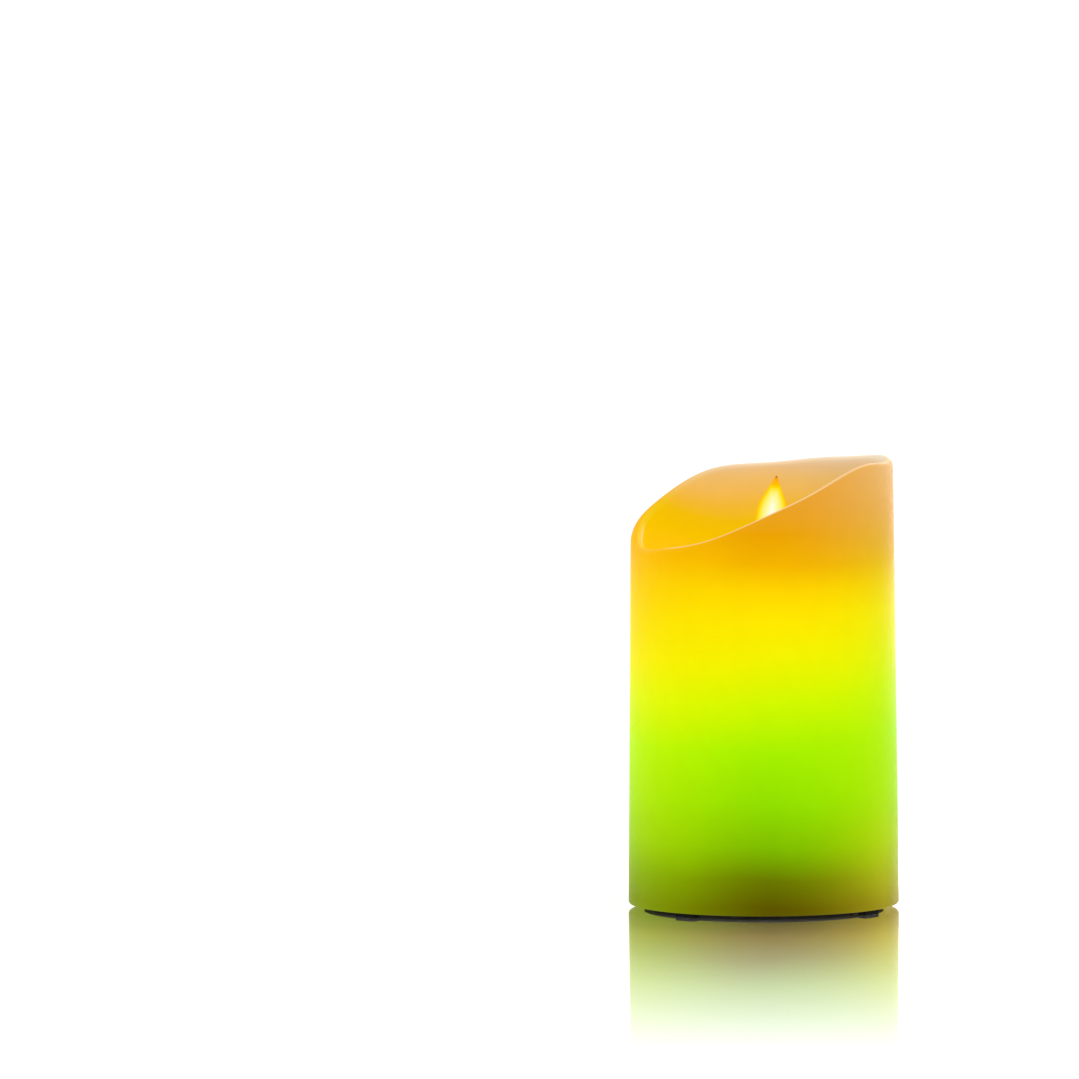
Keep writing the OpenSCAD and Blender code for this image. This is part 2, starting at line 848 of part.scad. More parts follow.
// Small resistors, capacitors and transistors
module chip_parts() {
    passives = [[-8, -9], [-5.4, -9], [-2.8, -9], [-3, 6], [-0.4, 6], [2.2, 6], [14.5, -1]];
    transistors = [[-14, 8], [-9.5, 8], [16, 3]];
    color(dark) {
        for (p = passives)
            translate([p.x, p.y, board_top]) cube([1.25, 2, 0.55]);
        for (p = transistors)
            translate([p.x, p.y, board_top]) cube([2.9, 1.3, 1]);
    }
}

// Plugs for the leads of the flame LED in front and the coil behind
module wire_plugs() {
    color("#f7f5ee")
    for (side = [-1, 1])
        translate([0, side * plug_y, 0])
        difference() {
            box([plug_x - plug_half.x, -plug_half.y, board_top],
                [plug_x + plug_half.x, plug_half.y, plug_top]);
            for (pin = [-plug_pin, plug_pin])
                translate([plug_x + pin, 0, plug_top - 1])
                cylinder(r = lead_r, h = 2, $fn = 24);
        }
}

// ---------- leads ----------

// Two leads from the outer contacts up through the bay's roof and over the board
module battery_wires() {
    // start on a contact's tab, rise beside the board's edge, end on the board
    route = [[24.4, -cell_pitch, 17.95], [26.6, -10.6, 17.95], [27.6, -9.4, 19.4],
        [26.4, -7.6, 22], [23, -6, 22.4], [19.6, -5, board_top + 0.4]];
    color("#b3282d") lead(route);
    color(dark) rotate([0, 0, 180]) lead(route);
}

// Two leads from the switch up through the board's cut-out
module switch_wires() {
    route = [[3, switch_y, switch_z + 4.9], [3, switch_y, 13], [3.2, 23.6, 17], [3.4, 23, 21.2],
        [3.2, 20.6, 22.8], [3, 17.9, board_top + 0.4]];
    color("#d8a72c") both_sides() lead(route);
}

module flame_led_wires() {
    route_right = [[led_leg, -6.6, 82.4], [2, -7, 79.6], [4.6, -7.9, 76.6], [7.5, -7.8, 73.4],
        [wire_hole, -wire_hole, 69], [wire_hole, -wire_hole, 63], [9.6, -8.6, 52],
        [11.8, -9.4, 40], [11.2, -8.6, 30], [plug_x + plug_pin, -plug_y, plug_top - 1]];
    route_left = [[-led_leg, -6.6, 82.4], [-2, -7, 79.6], [-4.6, -7.9, 76.6], [-7.5, -7.8, 73.4],
        [-wire_hole, -wire_hole, 69], [-wire_hole, -wire_hole, 63], [-4.6, -8.4, 54],
        [3.4, -9.4, 42], [7.4, -8.6, 31], [plug_x - plug_pin, -plug_y, plug_top - 1]];
    color("#b3282d") lead(route_right);
    color(dark) lead(route_left);
}

module coil_wires() {
    route_right = [[4.95, 4.95, 69.6], [7.1, 7.1, 69.2], [wire_hole, wire_hole, 66.4],
        [wire_hole, wire_hole, 62], [9.6, 8.6, 52], [11.8, 9.4, 40], [11.2, 8.6, 30],
        [plug_x + plug_pin, plug_y, plug_top - 1]];
    route_left = [[-4.95, 4.95, 69.6], [-7.1, 7.1, 69.2], [-wire_hole, wire_hole, 66.4],
        [-wire_hole, wire_hole, 62], [-4.6, 8.4, 54], [3.4, 9.4, 42], [7.4, 8.6, 31],
        [plug_x - plug_pin, plug_y, plug_top - 1]];
    color("#e8e4da") {
        lead(route_right);
        lead(route_left);
    }
}

wax_shell();
crater_plate();
glue_beads();
flame_blade();
blade_magnet();
pivot_wire();
flame_housing_front();
flame_housing_rear();
housing_screws();
plate_screws();
flame_led();
coil_bobbin();
coil_winding();
base_housing();
foot_pads();
battery_door();
door_latch();
battery_1();
battery_2();
battery_3();
battery_springs();
contact_plates();
switch_body();
switch_screws();
switch_knob();
main_pcb();
pcb_screws();
control_chip();
rgb_leds();
electrolytic_capacitor();
ir_receiver();
chip_parts();
wire_plugs();
battery_wires();
switch_wires();
flame_led_wires();
coil_wires();
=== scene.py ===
"""Flameless pillar candle: its looks, its stage and its camera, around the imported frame.

Sizes are in millimetres up to mm(), which turns them into the scene's metres. The candle
stands at the origin, +Z up, with its front towards -Y.
"""

import json
import math

import bpy
from mathutils import Euler, Matrix, Vector


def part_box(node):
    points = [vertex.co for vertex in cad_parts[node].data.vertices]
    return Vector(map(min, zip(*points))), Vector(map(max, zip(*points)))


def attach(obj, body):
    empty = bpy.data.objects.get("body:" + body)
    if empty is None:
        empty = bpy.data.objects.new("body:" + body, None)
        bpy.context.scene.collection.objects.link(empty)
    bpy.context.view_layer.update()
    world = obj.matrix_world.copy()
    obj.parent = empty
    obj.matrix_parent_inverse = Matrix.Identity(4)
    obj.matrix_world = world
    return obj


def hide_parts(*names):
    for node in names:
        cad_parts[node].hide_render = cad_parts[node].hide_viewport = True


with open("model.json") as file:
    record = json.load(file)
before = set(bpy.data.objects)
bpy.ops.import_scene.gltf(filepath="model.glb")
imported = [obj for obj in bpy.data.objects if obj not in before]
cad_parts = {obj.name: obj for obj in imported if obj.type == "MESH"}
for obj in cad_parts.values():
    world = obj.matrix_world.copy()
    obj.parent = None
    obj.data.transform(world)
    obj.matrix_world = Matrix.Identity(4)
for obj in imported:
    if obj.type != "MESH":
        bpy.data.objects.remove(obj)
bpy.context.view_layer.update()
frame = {"nodes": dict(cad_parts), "record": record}

# Wax shell, as in the CAD model
FOOT_R = 38.0            # outside radius at the foot
FOOT_Z = 1.0             # underside of the wax
TAPER = 1.2              # loss of outside radius over the rim's mean height
RIM_HEIGHT = 116.6       # mean height of the rim
RIM_WALL = 3.5           # wall thickness at the rim
LIP_H = 1.8              # height over which the rim rounds off
RIM_COS = (10.8, -1.3, 0.1, -0.4, -0.2, 0, 0.1)   # the rim's wave, once to seven times round
RIM_SIN = (6.6, -3, -0.1, 0.3, 0.2, 0, 0.3)
LEDGE_Z = 96.0           # the crater plate lies here
BORE_R = 32.4            # inside radius below the ledge
REBATE_R = 33.7          # the base's flange sits in this rebate
REBATE_Z = 2.0
TOP_Z = 127.0            # just above the highest point of the rim

# Flame blade
PIVOT_Z = 91.0
BLADE_LEAN = 7.8         # degrees
BLADE_TIP = 30.3         # from the pivot
FLAME_LENGTH = 30.0      # length of the flame's colour scale, down from its tip
FLAME_WIDTHS = ((2, 1.2), (5, 2.75), (8, 3.95), (10.6, 4.4), (15, 4.25), (20, 3.1),
                (26, 1.8))   # half width of the flame at distances below its tip
WIDTH_SCALE = 10.0       # half width at the top of the width curve
RING_WIDTH = 4.4         # the flame brightens over this distance from its edge

# Lip of the rim, in shares of the way across it from the outside to the inside
INSIDE_FROM = (0.45, 0.6)      # here the outer wall's colour gives way to the inner wall's
LIP_HIGHLIGHT_AT = (0.42, 0.86)        # middle of the painted highlight line: on the near side, at the far left
LIP_CROSSING = (-0.66, -0.95)  # the painted highlight line moves over between these, from 0 to -1 at the left
LIP_HIGHLIGHT_HALF = (0.05, 0.13)   # half its width: of its full strength, of its fading edge

# Shares of a lit colour that glow, and that are the body colour under it
WAX_GLOW, WAX_BODY = 0.67, 0.3
FLAME_GLOW, FLAME_BODY = 0.78, 0.25


def mm(*values):
    """Millimetres to metres: a number for one value, a Vector for three."""
    if len(values) == 1:
        return values[0] / 1000
    return Vector(v / 1000 for v in values)


def light(red, green, blue):
    """A display colour, 0 to 255 a channel, as the linear colour that a shader takes."""
    def channel(v):
        v /= 255
        return v / 12.92 if v <= 0.04045 else ((v + 0.055) / 1.055) ** 2.4
    return (channel(red), channel(green), channel(blue), 1.0)


# ---------- materials ----------

class Nodes:
    """One material's node tree, with short calls for the nodes used here."""

    def __init__(self, name):
        self.material = bpy.data.materials.new(name)
        self.material.use_nodes = True
        self.tree = self.material.node_tree
        self.tree.nodes.clear()
        self.place = self.add("ShaderNodeTexCoord").outputs["Object"]

    def feed(self, socket, value):
        """Links an output to a socket, or sets a plain value on it."""
        if isinstance(value, bpy.types.NodeSocket):
            self.tree.links.new(value, socket)
        else:
            socket.default_value = value

    def show(self, surface):
        """Makes a shader's output the surface of the material."""
        self.add("ShaderNodeOutputMaterial", {"Surface": surface})

    def add(self, kind, inputs=None, **settings):
        node = self.tree.nodes.new(kind)
        for key, value in settings.items():
            setattr(node, key, value)
        for key, value in (inputs or {}).items():
            self.feed(node.inputs[key], value)
        return node

    def math(self, operation, a, b=0.0, clamp=False):
        return self.add("ShaderNodeMath", {0: a, 1: b}, operation=operation,
                        use_clamp=clamp).outputs[0]

    def axes(self, vector=None):
        split = self.add("ShaderNodeSeparateXYZ", {0: vector or self.place})
        return split.outputs

    def span(self, value, low, high, to_low=0.0, to_high=1.0, smooth=True):
        """Maps low..high on a value to to_low..to_high, held beyond both ends."""
        kind = "SMOOTHSTEP" if smooth else "LINEAR"
        return self.add("ShaderNodeMapRange", {
            "Value": value, "From Min": low, "From Max": high, "To Min": to_low, "To Max": to_high,
        }, interpolation_type=kind).outputs["Result"]

    def noise(self, size, detail=2.0, stretch=(1, 1, 1), roughness=0.5):
        """Noise from 0 to 1 whose features are about size millimetres across."""
        mapped = self.add("ShaderNodeMapping", {"Vector": self.place, "Scale": stretch})
        return self.add("ShaderNodeTexNoise", {
            "Vector": mapped.outputs[0], "Scale": 1000 / size, "Detail": detail,
            "Roughness": roughness}).outputs["Fac"]

    def mix(self, share, a, b, blend="MIX"):
        node = self.add("ShaderNodeMix", {0: share, 6: a, 7: b}, data_type="RGBA",
                        blend_type=blend)
        return node.outputs[2]

    def ramp(self, value, stops):
        """Colours along a value from 0 to 1, given as (value, colour) pairs."""
        node = self.add("ShaderNodeValToRGB", {"Fac": value})
        points = node.color_ramp.elements
        while len(points) < len(stops):
            points.new(0.5)
        for point, (position, colour) in zip(points, stops):
            point.position = position
        for point, (position, colour) in zip(points, stops):
            point.color = colour
        return node.outputs["Color"]

    def times(self, colour, factor):
        """A colour multiplied by a number or by another colour."""
        if isinstance(factor, float):
            factor = (factor, factor, factor, 1)
        return self.mix(1.0, colour, factor, blend="MULTIPLY")

    def distance(self, vector):
        return self.add("ShaderNodeVectorMath", {0: vector}, operation="LENGTH").outputs["Value"]


class Paint(Nodes):
    """A material with one Principled shader."""

    def __init__(self, name, roughness=0.5, metallic=0.0, ior=1.45):
        super().__init__(name)
        self.shader = self.add("ShaderNodeBsdfPrincipled")
        self.show(self.shader.outputs[0])
        self.put("Roughness", roughness)
        self.put("Metallic", metallic)
        self.put("IOR", ior)

    def put(self, name, value):
        self.feed(self.shader.inputs[name], value)

    def bump(self, height, depth, strength=1.0):
        """Relief from a 0 to 1 height, up to a depth in millimetres."""
        node = self.add("ShaderNodeBump", {
            "Height": height, "Distance": mm(depth), "Strength": strength})
        self.put("Normal", node.outputs[0])

    def glow(self, colour, strength):
        self.put("Emission Color", colour)
        self.put("Emission Strength", strength)


def by_height(stops):
    """Turns (height in mm, display colour) pairs into stops for a ramp up to TOP_Z."""
    return [(z / TOP_Z, light(*colour)) for z, colour in stops]


# The glow of the wax from the foot up, painted in as light: green over the coloured light in the base,
# then yellow, amber under the flame, and bare beige wax where the rim is highest. The dull olive at
# the very foot is painted shade, where the base housing holds back the light.
GLOW_MIDDLE = by_height([
    (3, (92, 84, 0)), (11, (104, 118, 0)), (20, (125, 186, 0)), (32, (144, 222, 0)),
    (46, (164, 239, 0)), (60, (207, 247, 0)), (72, (243, 241, 0)), (82, (253, 229, 0)),
    (90, (254, 212, 0)), (98, (242, 178, 0)), (106, (234, 162, 2)), (114, (232, 160, 40))])
# The flanks, with their own painted light: lighter than the middle and with less painted shade at the
# foot; the right flank also takes a painted pale wash of daylight, beige at the foot and towards the
# rim
GLOW_LEFT = by_height([
    (3, (130, 152, 0)), (10, (140, 178, 0)), (20, (163, 213, 0)), (32, (178, 234, 0)),
    (46, (193, 248, 0)), (60, (231, 249, 0)), (70, (251, 239, 0)), (82, (253, 226, 0)),
    (92, (253, 210, 0)), (100, (253, 192, 0)), (108, (250, 186, 10))])
GLOW_RIGHT = by_height([
    (3, (158, 146, 18)), (10, (170, 175, 16)), (20, (177, 211, 4)), (34, (174, 233, 0)),
    (50, (182, 242, 0)), (63, (205, 245, 0)), (74, (228, 240, 0)), (84, (241, 230, 0)),
    (92, (239, 210, 0)), (98, (231, 188, 18)), (104, (228, 177, 50)), (112, (229, 174, 80)),
    (122, (232, 181, 106))])
# The inner wall, in the flame's light below and in daylight near the rim
GLOW_INSIDE = by_height([
    (97, (250, 204, 16)), (103, (244, 201, 0)), (108, (241, 195, 12)), (112, (241, 190, 56)),
    (116, (241, 190, 92)), (120, (238, 192, 112)), (123, (235, 194, 140)),
    (124.5, (238, 202, 158)), (126.5, (247, 225, 195))])
# Colours of the lip's painted light: a highlight on the near side, a highlight at the left end, and
# daylight through the back of the rim on the far side
LIP_NEAR_HIGHLIGHT = light(244, 200, 140)
LIP_LEFT_HIGHLIGHT = light(254, 216, 124)
LIP_FAR_BACKLIGHT = light(252, 226, 192)


def wax_paint():
    """Warm translucent wax, lit from inside: the light is part of the material."""
    p = Paint("wax", roughness=0.42, ior=1.09)
    x, y, z = p.axes()
    side = p.math("DIVIDE", x, mm(FOOT_R))
    cloud = p.noise(30, detail=1.0)
    level = p.math("ADD", p.math("DIVIDE", z, mm(TOP_Z)),
                   p.span(cloud, 0.2, 0.8, -0.008, 0.008))
    # blends the middle's painted light and shade into the flanks' painted light
    to_left = p.math("POWER", p.span(side, 0.0, -0.9, smooth=False), 1.3)
    to_right = p.math("POWER", p.span(side, 0.0, 0.85, smooth=False), 2.0)
    outside = p.mix(to_left, p.ramp(level, GLOW_MIDDLE), p.ramp(level, GLOW_LEFT))
    outside = p.mix(to_right, outside, p.ramp(level, GLOW_RIGHT))
    # the flame's light reaches 8 mm higher up the low left wall, and the right is duller
    lowered = p.math("POWER", p.span(side, 0.0, -1.0, smooth=False), 2.0)
    lowered = p.math("MULTIPLY", lowered, 8 / TOP_Z)
    inside = p.ramp(p.math("SUBTRACT", level, lowered), GLOW_INSIDE)
    shade = p.mix(p.span(side, 0.1, 0.7), (1, 1, 1, 1), (0.91, 0.955, 1, 1))
    inside = p.times(inside, shade)
    # the lip: a painted highlight line on the near side, which runs to its inner edge at the left, and
    # a soft pale fade on the far side, which is painted daylight shining through the back of the rim
    across = p.add("ShaderNodeAttribute", attribute_name="across").outputs["Fac"]
    colour = p.mix(p.span(across, *INSIDE_FROM), outside, inside)
    middle = p.span(side, *LIP_CROSSING, *LIP_HIGHLIGHT_AT)
    off_middle = p.math("ABSOLUTE", p.math("SUBTRACT", across, middle))
    lip_highlight = p.math("MULTIPLY", p.span(off_middle, *LIP_HIGHLIGHT_HALF, 1.0, 0.0),
                  p.span(y, mm(2), mm(10), 1.0, 0.0))
    colour = p.mix(lip_highlight, colour, p.mix(p.span(side, -0.6, -0.85), LIP_NEAR_HIGHLIGHT, LIP_LEFT_HIGHLIGHT))
    # the far fade is painted daylight shining through the back of the rim
    fade = p.math("MULTIPLY", p.span(across, 0.95, 0.55), p.span(across, 0.0, 0.3))
    far = p.math("MULTIPLY", p.span(y, mm(4), mm(16)), p.span(side, -0.75, 0.1))
    colour = p.mix(p.math("MULTIPLY", fade, far), colour, LIP_FAR_BACKLIGHT)
    # cast wax: soft mottling and a fine grain
    colour = p.times(colour, p.span(p.noise(5, detail=3.0), 0.3, 0.7, 0.99, 1.01))
    p.put("Base Color", p.times(colour, WAX_BODY))
    p.glow(colour, WAX_GLOW)
    p.put("Specular Tint", light(255, 214, 90))
    p.put("Roughness", p.span(p.noise(1.6, detail=3.0), 0.3, 0.7, 0.36, 0.5))
    p.bump(p.noise(0.9, detail=4.0), 0.03, 0.5)
    return p.material


def flame_paint():
    """Film of the flame blade in the light of its LED, painted in as a glow: white at the foot of the
    flame, amber at its tip and rim.
    """
    p = Paint("flame_film", roughness=0.4, ior=1.12)
    local = p.add("ShaderNodeMapping", {
        "Vector": p.place, "Location": mm(0, 0, PIVOT_Z),
        "Rotation": (0, math.radians(BLADE_LEAN), 0)}, vector_type="TEXTURE")
    across, _, up = p.axes(local.outputs[0])
    below_tip = p.math("SUBTRACT", BLADE_TIP, p.math("MULTIPLY", up, 1000))
    # half width of the flame at each distance below its tip
    share = p.math("DIVIDE", below_tip, FLAME_LENGTH)
    widths = p.add("ShaderNodeFloatCurve", {"Value": share})
    curve = widths.mapping.curves[0]
    for point, place in zip(curve.points, ((0, 0.0), (1, 0.18))):
        point.location = place
    for distance, half in FLAME_WIDTHS:
        curve.points.new(distance / FLAME_LENGTH, half / WIDTH_SCALE)
    widths.mapping.update()
    half_width = p.math("MULTIPLY", widths.outputs[0], WIDTH_SCALE)
    off_axis = p.math("ABSOLUTE", p.math("MULTIPLY", across, 1000))
    from_edge = p.math("SUBTRACT", half_width, off_axis)
    core = p.ramp(share, [
        (0.0, light(160, 108, 28)), (0.014, light(190, 124, 26)), (0.028, light(250, 166, 16)),
        (0.07, light(252, 182, 2)), (0.092, light(253, 198, 0)), (0.112, light(252, 220, 0)),
        (0.13, light(252, 231, 62)), (0.165, light(251, 242, 125)), (0.22, light(252, 249, 181)),
        (0.29, light(253, 254, 230)), (0.34, light(255, 255, 250)), (0.8, light(255, 240, 190)),
        (0.95, light(250, 190, 60))])
    ring = p.ramp(p.span(from_edge, 0.0, RING_WIDTH, smooth=False), [
        (0.0, light(252, 180, 20)), (0.07, light(252, 197, 8)), (0.14, light(251, 211, 0)),
        (0.25, light(251, 229, 48)), (0.38, light(253, 237, 105)), (0.5, light(252, 244, 136)),
        (0.75, light(252, 250, 190)), (1.0, light(255, 255, 250))])
    # each point takes the darker of what its height and its distance from the edge give
    colour = p.mix(1.0, core, ring, blend="DARKEN")
    p.put("Base Color", p.times(colour, FLAME_BODY))
    p.glow(colour, FLAME_GLOW)
    p.bump(p.noise(0.5, detail=3.0), 0.02, 0.4)
    return p.material


def moulded(name, colour, roughness=0.5, grain=0.35, relief=0.03, mottle=0.06, ior=1.46):
    """Injection-moulded plastic: slight mottling, a fine eroded texture and worn gloss."""
    p = Paint(name, ior=ior)
    dim = tuple(c * (1 - 2 * mottle) for c in colour[:3]) + (1.0,)
    p.put("Base Color", p.mix(p.span(p.noise(7, detail=4.0), 0.3, 0.7), dim, colour))
    rubbed = p.noise(11, detail=3.0, stretch=(1, 0.4, 1))
    p.put("Roughness", p.span(rubbed, 0.35, 0.65, roughness - 0.07, roughness + 0.07))
    p.bump(p.noise(grain, detail=2.0), relief, 0.6)
    return p


def crater_paint():
    """Ivory plate in the light of the flame: pale round the slot, amber towards the wall."""
    p = moulded("crater_ivory", light(240, 214, 160), roughness=0.45)
    x, y, _ = p.axes()
    from_light = p.add("ShaderNodeCombineXYZ", {0: x, 1: p.math("ADD", y, mm(3))}).outputs[0]
    colour = p.ramp(p.span(p.distance(from_light), 0.0, mm(34), smooth=False), [
        (0.0, light(255, 240, 170)), (0.2, light(255, 226, 84)), (0.45, light(250, 200, 34)),
        (0.75, light(240, 187, 18)), (1.0, light(244, 194, 10))])
    p.glow(colour, 0.55)
    p.put("Base Color", p.mix(0.6, colour, light(240, 214, 160), blend="MULTIPLY"))
    return p.material


def metal(name, colour, roughness, stretch=(1, 1, 1), grain=0.5):
    """Plated or drawn metal with fine lines along one direction and dull patches."""
    p = Paint(name, metallic=1.0)
    lines = p.noise(grain, detail=4.0, stretch=stretch)
    patches = p.noise(3, detail=3.0)
    dull = tuple(c * 0.78 for c in colour[:3]) + (1.0,)
    p.put("Base Color", p.mix(p.span(patches, 0.3, 0.7), dull, colour))
    p.put("Roughness", p.span(p.math("MULTIPLY", lines, patches), 0.1, 0.4,
                              roughness - 0.08, roughness + 0.12))
    p.bump(lines, 0.01, 0.5)
    return p.material


def led_paint():
    """Clear epoxy that glows warm white all over, with faint specks."""
    p = Paint("led_lens", roughness=0.12)
    speck = p.span(p.noise(0.8, detail=2.0), 0.3, 0.7)
    colour = p.mix(speck, light(255, 224, 150), light(255, 240, 200))
    p.put("Base Color", colour)
    p.glow(colour, 1.6)
    p.put("Coat Weight", 0.6)
    p.bump(p.noise(1.2), 0.01, 0.3)
    return p.material


def coloured_led_paint():
    """White packages of the coloured lights, with a glowing green-yellow window on top."""
    p = Paint("rgb_led", roughness=0.35)
    low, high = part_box("rgb_leds")
    x, y, z = p.axes()
    on_window = p.span(z, low.z + mm(0.9), low.z + mm(1.2), 1.0, 0.0)
    radius = p.distance(p.add("ShaderNodeCombineXYZ", {0: x, 1: y}).outputs[0])
    p.put("Base Color", p.mix(p.noise(1.5), light(236, 236, 228), light(250, 250, 244)))
    ring = p.math("ABSOLUTE", p.math("SUBTRACT", radius, mm(19)))
    window = p.math("MULTIPLY", p.span(ring, mm(1.5), mm(2.0), 1.0, 0.0), on_window)
    p.put("Emission Color", light(190, 255, 40))
    p.put("Emission Strength", p.math("MULTIPLY", window, 2.0))
    p.bump(p.noise(0.4), 0.01, 0.4)
    return p.material


def board_paint():
    """Green solder mask over copper tracks, with bare tinned pads."""
    p = Paint("board", roughness=0.3, ior=1.5)
    flat = p.add("ShaderNodeMapping", {"Vector": p.place, "Scale": (1, 1, 0.001)}).outputs[0]
    tracks = p.add("ShaderNodeTexVoronoi", {"Vector": flat, "Scale": 260.0, "Randomness": 0.7},
                   distance="MANHATTAN", feature="F1").outputs["Distance"]
    wave = p.math("PINGPONG", p.math("MULTIPLY", tracks, 6.0), 1.0)
    track = p.span(wave, 0.4, 0.55)
    pads = p.add("ShaderNodeTexVoronoi", {"Vector": flat, "Scale": 180.0, "Randomness": 0.25},
                 feature="F1").outputs["Distance"]
    pad = p.span(pads, 0.1, 0.13, 1.0, 0.0)
    mask = p.mix(track, light(20, 74, 42), light(38, 112, 62))
    p.put("Base Color", p.mix(pad, mask, light(196, 196, 190)))
    p.put("Roughness", p.span(p.noise(2.5), 0.3, 0.7, 0.22, 0.36))
    p.bump(p.math("ADD", track, pad), 0.03, 0.6)
    return p.material


def cell_paint():
    """Cell sleeve: blue wrap with a silver band at the nub's end, and bare steel ends."""
    p = Paint("cell_sleeve", roughness=0.28)
    inset = p.math("ABSOLUTE", p.axes()[0])
    band = p.span(inset, mm(14.0), mm(14.3))
    bare = p.span(inset, mm(21.4), mm(21.6))
    wrap = p.mix(p.span(p.noise(0.5, stretch=(0.2, 1, 1)), 0.3, 0.7),
                 light(34, 92, 150), light(44, 108, 168))
    colour = p.mix(band, wrap, light(206, 210, 216))
    p.put("Base Color", p.mix(bare, colour, light(186, 188, 192)))
    p.put("Metallic", p.math("MAXIMUM", bare, p.math("MULTIPLY", band, 0.7)))
    p.put("Coat Weight", 0.3)
    p.put("Roughness", p.span(p.noise(4, detail=3.0), 0.3, 0.7, 0.22, 0.38))
    p.bump(p.noise(0.6, detail=3.0), 0.012, 0.4)
    return p.material


def winding_paint():
    """Enamelled copper wire, its colour a little uneven."""
    p = Paint("copper_wire", roughness=0.25, metallic=1.0)
    p.put("Base Color", p.mix(p.span(p.noise(1.2, detail=3.0), 0.3, 0.7),
                              light(156, 78, 36), light(206, 118, 64)))
    p.put("Coat Weight", 0.5)
    p.put("Roughness", p.span(p.noise(0.7), 0.3, 0.7, 0.2, 0.36))
    p.bump(p.noise(0.3), 0.008, 0.4)
    return p.material


MAKERS = {
    "ivory_plastic": lambda: moulded("ivory_plastic", light(238, 228, 200)).material,
    "hot_melt": lambda: moulded("hot_melt", light(226, 214, 176), 0.22, 1.5, 0.1).material,
    "flame_film": flame_paint,
    "magnet_metal": lambda: metal("magnet_metal", light(206, 208, 212), 0.22),
    "steel_wire": lambda: metal("steel_wire", light(190, 192, 196), 0.3, (1, 0.1, 1), 0.2),
    "screw_steel": lambda: metal("screw_steel", light(184, 186, 190), 0.32, (1, 1, 0.3)),
    "led_lens": led_paint,
    "black_plastic": lambda: moulded("black_plastic", light(30, 30, 32), 0.6, mottle=0.08,
                                     ior=1.25).material,
    "copper_wire": winding_paint,
    "foot_rubber": lambda: moulded("foot_rubber", light(14, 13, 13), 0.8, 0.6, 0.05, 0.12,
                                   ior=1.2).material,
    "cell_sleeve": cell_paint,
    "contact_metal": lambda: metal("contact_metal", light(214, 214, 216), 0.26, (1, 0.15, 1)),
    "board": board_paint,
    "capacitor_sleeve": lambda: moulded("capacitor_sleeve", light(44, 62, 118), 0.26, 0.8).material,
    "white_plastic": lambda: moulded("white_plastic", light(238, 236, 228), 0.4).material,
    "red_insulation": lambda: moulded("red_insulation", light(178, 34, 38), 0.36, 0.7).material,
    "yellow_insulation": lambda: moulded("yellow_insulation", light(214, 168, 40), 0.36, 0.7).material,
    "white_insulation": lambda: moulded("white_insulation", light(230, 226, 216), 0.36, 0.7).material,
}


def paint_frame():
    """Gives every CAD node the material of its slot in the record, apart from the wax."""
    made = {}
    special = {"crater_plate": crater_paint(), "rgb_leds": coloured_led_paint()}
    for part in frame["record"]["subparts"]:
        slot = part["material_slot"]
        if slot == "wax":
            continue
        if slot not in made:
            made[slot] = MAKERS[slot]()
        node = frame["nodes"][part["node"]]
        node.data.materials.clear()
        node.data.materials.append(special.get(part["node"], made[slot]))


# ---------- wax shell ----------

def rim_z(angle):
    """Height of the rim at one angle round the candle."""
    terms = enumerate(zip(RIM_COS, RIM_SIN), start=1)
    return RIM_HEIGHT + sum(c * math.cos(k * angle) + s * math.sin(k * angle)
                            for k, (c, s) in terms)


def wax_outside(z):
    """Outside radius of the wax at one height."""
    return FOOT_R - TAPER * (z - FOOT_Z) / RIM_HEIGHT


def wax_section(angle):
    """Wall section at one angle: (radius, height, across) rows, where across goes from 0 on
    the outside to 1 on the inside of the rim's rounded lip."""
    foot_round, foot_steps = 0.8, 5
    outer_rows, lip_steps, inner_rows, bore_rows = 24, 20, 8, 6
    half = RIM_WALL / 2
    top = rim_z(angle)
    lip_r = wax_outside(top) - half
    rows = []
    for i in range(foot_steps + 1):
        turn = math.pi / 2 * i / foot_steps
        rows.append((FOOT_R - foot_round * (1 - math.sin(turn)),
                     FOOT_Z + foot_round * (1 - math.cos(turn)), 0))
    low, high = FOOT_Z + foot_round, top - LIP_H
    for i in range(1, outer_rows):
        z = low + (high - low) * i / outer_rows
        rows.append((wax_outside(z), z, 0))
    for i in range(lip_steps + 1):
        turn = math.pi * i / lip_steps
        rows.append((lip_r + half * math.cos(turn), top - LIP_H * (1 - math.sin(turn)),
                     i / lip_steps))
    ledge_r = wax_outside(LEDGE_Z) - RIM_WALL
    for i in range(1, inner_rows + 1):
        f = i / inner_rows
        rows.append((lip_r - half + (ledge_r - lip_r + half) * f, high + (LEDGE_Z - high) * f, 1))
    for i in range(bore_rows + 1):
        rows.append((BORE_R, LEDGE_Z + (REBATE_Z - LEDGE_Z) * i / bore_rows, 1))
    rows += [(REBATE_R, REBATE_Z, 0), (REBATE_R, FOOT_Z, 0)]
    return rows


def make_wax():
    """The wax wall as one smooth closed mesh that knows its outside from its inside."""
    sides = 288
    rings = [wax_section(2 * math.pi * j / sides) for j in range(sides)]
    rows = len(rings[0])
    points, across = [], []
    faces = []
    for j, ring in enumerate(rings):
        angle = 2 * math.pi * j / sides
        for radius, z, share in ring:
            points.append(mm(radius * math.cos(angle), radius * math.sin(angle), z))
            across.append(float(share))
    for j in range(sides):
        k = (j + 1) % sides
        for i in range(rows):
            m = (i + 1) % rows
            faces.append((j * rows + i, k * rows + i, k * rows + m, j * rows + m))
    mesh = bpy.data.meshes.new("wax_pillar")
    mesh.from_pydata(points, [], faces)
    mesh.attributes.new("across", "FLOAT", "POINT").data.foreach_set("value", across)
    mesh.shade_smooth()
    mesh.set_sharp_from_angle(angle=math.radians(40))
    mesh.update()
    wax = bpy.data.objects.new("wax_pillar", mesh)
    bpy.context.scene.collection.objects.link(wax)
    mesh.materials.append(wax_paint())
    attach(wax, "root")
    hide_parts("wax_shell")


# ---------- stage ----------

